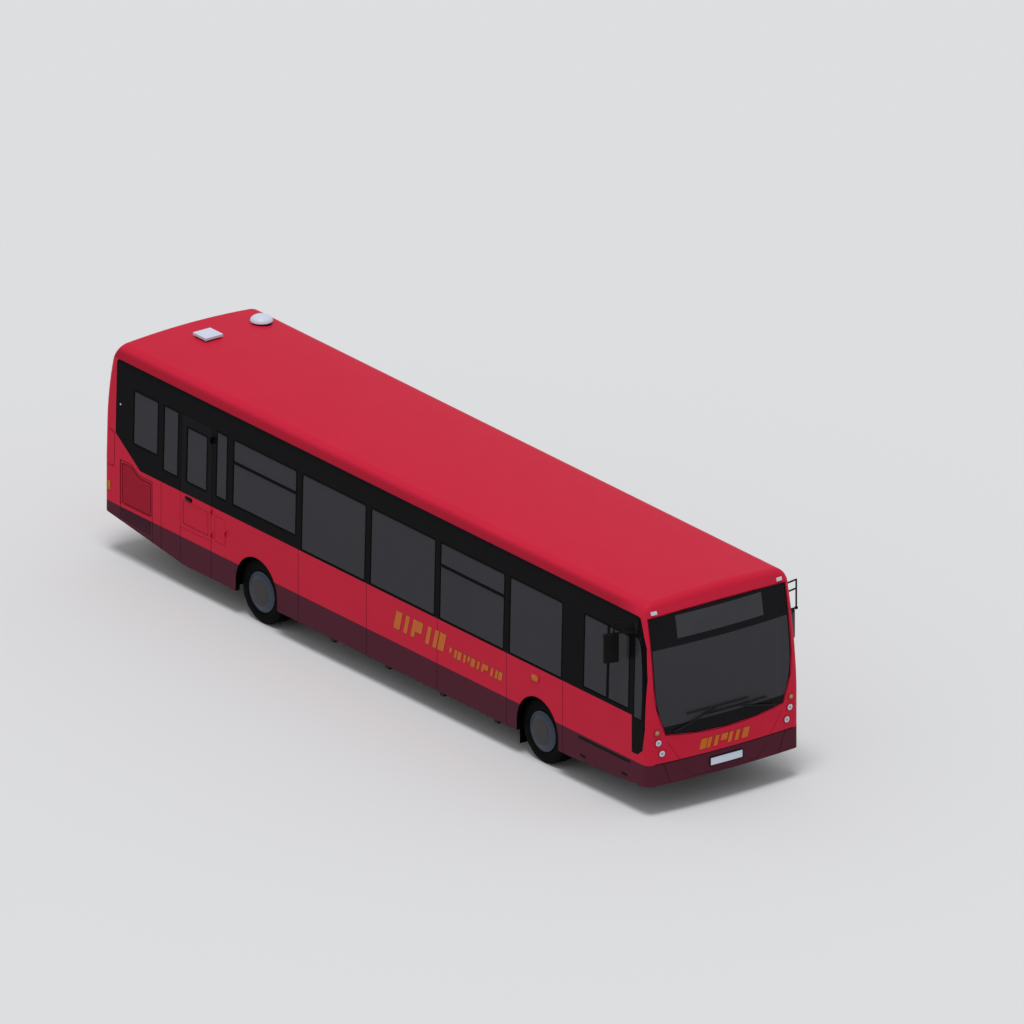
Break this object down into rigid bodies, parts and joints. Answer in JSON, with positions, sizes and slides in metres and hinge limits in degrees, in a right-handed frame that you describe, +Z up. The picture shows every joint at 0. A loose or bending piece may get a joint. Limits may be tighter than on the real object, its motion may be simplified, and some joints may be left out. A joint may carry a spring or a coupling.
{
  "type": "city bus",
  "caption": "Single-deck low-floor city bus with a bowed windscreen, black window band, red sides, dark skirts, looped mirrors, an emergency door and a folding entrance.",
  "frame": {"origin": "On the ground, under the middle of the bus's overall box.", "axes": "+X forward, +Y to the bus's left, where the entrance is, +Z up."},
  "size_m": [12.0703, 3.0254, 3.071],
  "materials": {
    "paint_red": "gloss red coach paint",
    "paint_maroon": "satin dark maroon paint",
    "band_black": "gloss black paint",
    "glass_front": "lightly tinted laminated glass",
    "glass_tinted": "dark tinted glass",
    "plastic_black": "grained black plastic",
    "plastic_white": "white plastic",
    "floor_grey": "ribbed vinyl flooring",
    "steel_dark": "black chassis paint",
    "rim_grey": "dusty dark grey wheel paint",
    "tyre": "matt tyre rubber",
    "engine_iron": "cast surface",
    "lining_grey": "grey laminate",
    "seat_fabric": "woven moquette",
    "rail_yellow": "gloss yellow rail coating",
    "lens_clear": "clear lamp lens",
    "lens_amber": "amber lamp lens",
    "lens_red": "red lamp lens"
  },
  "bodies": {
    "bus_body": {"chassis_frame": "steel_dark", "floor": "floor_grey", "wheel_boxes": "plastic_black", "offside_window_band": "band_black", "nearside_window_band": "band_black", "offside_side_panels": "paint_red", "nearside_side_panels": "paint_red", "side_skirts": "paint_maroon", "front_bumper": "paint_maroon", "front_panel": "paint_red", "windscreen": "glass_front", "destination_panel": "plastic_black", "roof": "paint_red", "roof_vents": "plastic_white", "rear_panel": "paint_red", "rear_bumper": "paint_maroon", "rear_window": "glass_tinted", "side_windows": "glass_tinted", "front_axle": "steel_dark", "rear_axle": "steel_dark", "engine": "engine_iron", "fuel_tank": "steel_dark", "door_gear": "lining_grey", "cab_partition": "lining_grey", "dashboard": "plastic_black", "driver_seat": "seat_fabric", "seats": "seat_fabric", "handrails": "rail_yellow", "head_lamps": "lens_clear", "amber_lamps": "lens_amber", "tail_lamps": "lens_red", "number_plates": "plastic_white", "mirrors": "plastic_black", "wipers": "steel_dark"},
    "steered_hub_left": {"knuckle_nearside": "steel_dark"},
    "steered_hub_right": {"knuckle_offside": "steel_dark"},
    "wheel_front_left": {"rim_front_nearside": "rim_grey", "tyre_front_nearside": "tyre"},
    "wheel_front_right": {"rim_front_offside": "rim_grey", "tyre_front_offside": "tyre"},
    "wheels_rear_left": {"rim_rear_nearside": "rim_grey", "tyres_rear_nearside": "tyre"},
    "wheels_rear_right": {"rim_rear_offside": "rim_grey", "tyres_rear_offside": "tyre"},
    "drivers_wheel": {"steering_wheel": "plastic_black"},
    "emergency_exit": {"emergency_door": "paint_red", "emergency_door_glass": "glass_tinted"},
    "front_leaf": {"entrance_leaf_front": "band_black", "entrance_leaf_front_glass": "glass_tinted"},
    "rear_leaf": {"entrance_leaf_rear": "band_black", "entrance_leaf_rear_glass": "glass_tinted"},
    "engine_cover": {"engine_flap": "paint_red"},
    "fuel_cover": {"fuel_flap": "paint_red"}
  },
  "joints": [
    {"name": "steer_right", "type": "hinge", "parent": "bus_body", "child": "steered_hub_right", "pos_m": [3.533, -0.93, 0.447], "axis": [0, 0, 1], "range_deg": [-35, 35]},
    {"name": "steer_left", "type": "hinge", "parent": "bus_body", "child": "steered_hub_left", "pos_m": [3.533, 0.93, 0.447], "axis": [0, 0, 1], "range_deg": [-35, 35]},
    {"name": "spin_front_left", "type": "hinge", "parent": "steered_hub_left", "child": "wheel_front_left", "pos_m": [3.533, 1.0215, 0.447], "axis": [0, 1, 0], "continuous": true},
    {"name": "spin_front_right", "type": "hinge", "parent": "steered_hub_right", "child": "wheel_front_right", "pos_m": [3.533, -1.0215, 0.447], "axis": [0, 1, 0], "continuous": true},
    {"name": "spin_rear_left", "type": "hinge", "parent": "bus_body", "child": "wheels_rear_left", "pos_m": [-2.647, 0.861, 0.447], "axis": [0, 1, 0], "continuous": true},
    {"name": "spin_rear_right", "type": "hinge", "parent": "bus_body", "child": "wheels_rear_right", "pos_m": [-2.647, -0.861, 0.447], "axis": [0, 1, 0], "continuous": true},
    {"name": "steering_wheel_turn", "type": "hinge", "parent": "bus_body", "child": "drivers_wheel", "pos_m": [5.32, -0.76, 1.29], "axis": [-0.5736, 0, 0.8192], "range_deg": [-600, 600]},
    {"name": "emergency_door_swing", "type": "hinge", "parent": "bus_body", "child": "emergency_exit", "pos_m": [-3.64, -1.266, 1.665], "axis": [0, 0, 1], "range_deg": [0, 100]},
    {"name": "front_leaf_swing", "type": "hinge", "parent": "bus_body", "child": "front_leaf", "pos_m": [5.547, 1.153, 1.454], "axis": [0, 0, 1], "range_deg": [0, 88]},
    {"name": "rear_leaf_swing", "type": "hinge", "parent": "bus_body", "child": "rear_leaf", "pos_m": [4.393, 1.153, 1.454], "axis": [0, 0, -1], "range_deg": [0, 88]},
    {"name": "engine_flap_lift", "type": "hinge", "parent": "bus_body", "child": "engine_cover", "pos_m": [-6.026, 0, 1.5], "axis": [0, 1, 0], "range_deg": [0, 80]},
    {"name": "fuel_flap_swing", "type": "hinge", "parent": "bus_body", "child": "fuel_cover", "pos_m": [-3.33, -1.266, 1.08], "axis": [0, 0, 1], "range_deg": [0, 110]}
  ],
  "couplings": [
    {"joint": "steer_left", "follows": "steer_right", "ratio": 1},
    {"joint": "steering_wheel_turn", "follows": "steer_right", "ratio": 16},
    {"joint": "rear_leaf_swing", "follows": "front_leaf_swing", "ratio": 1}
  ]
}
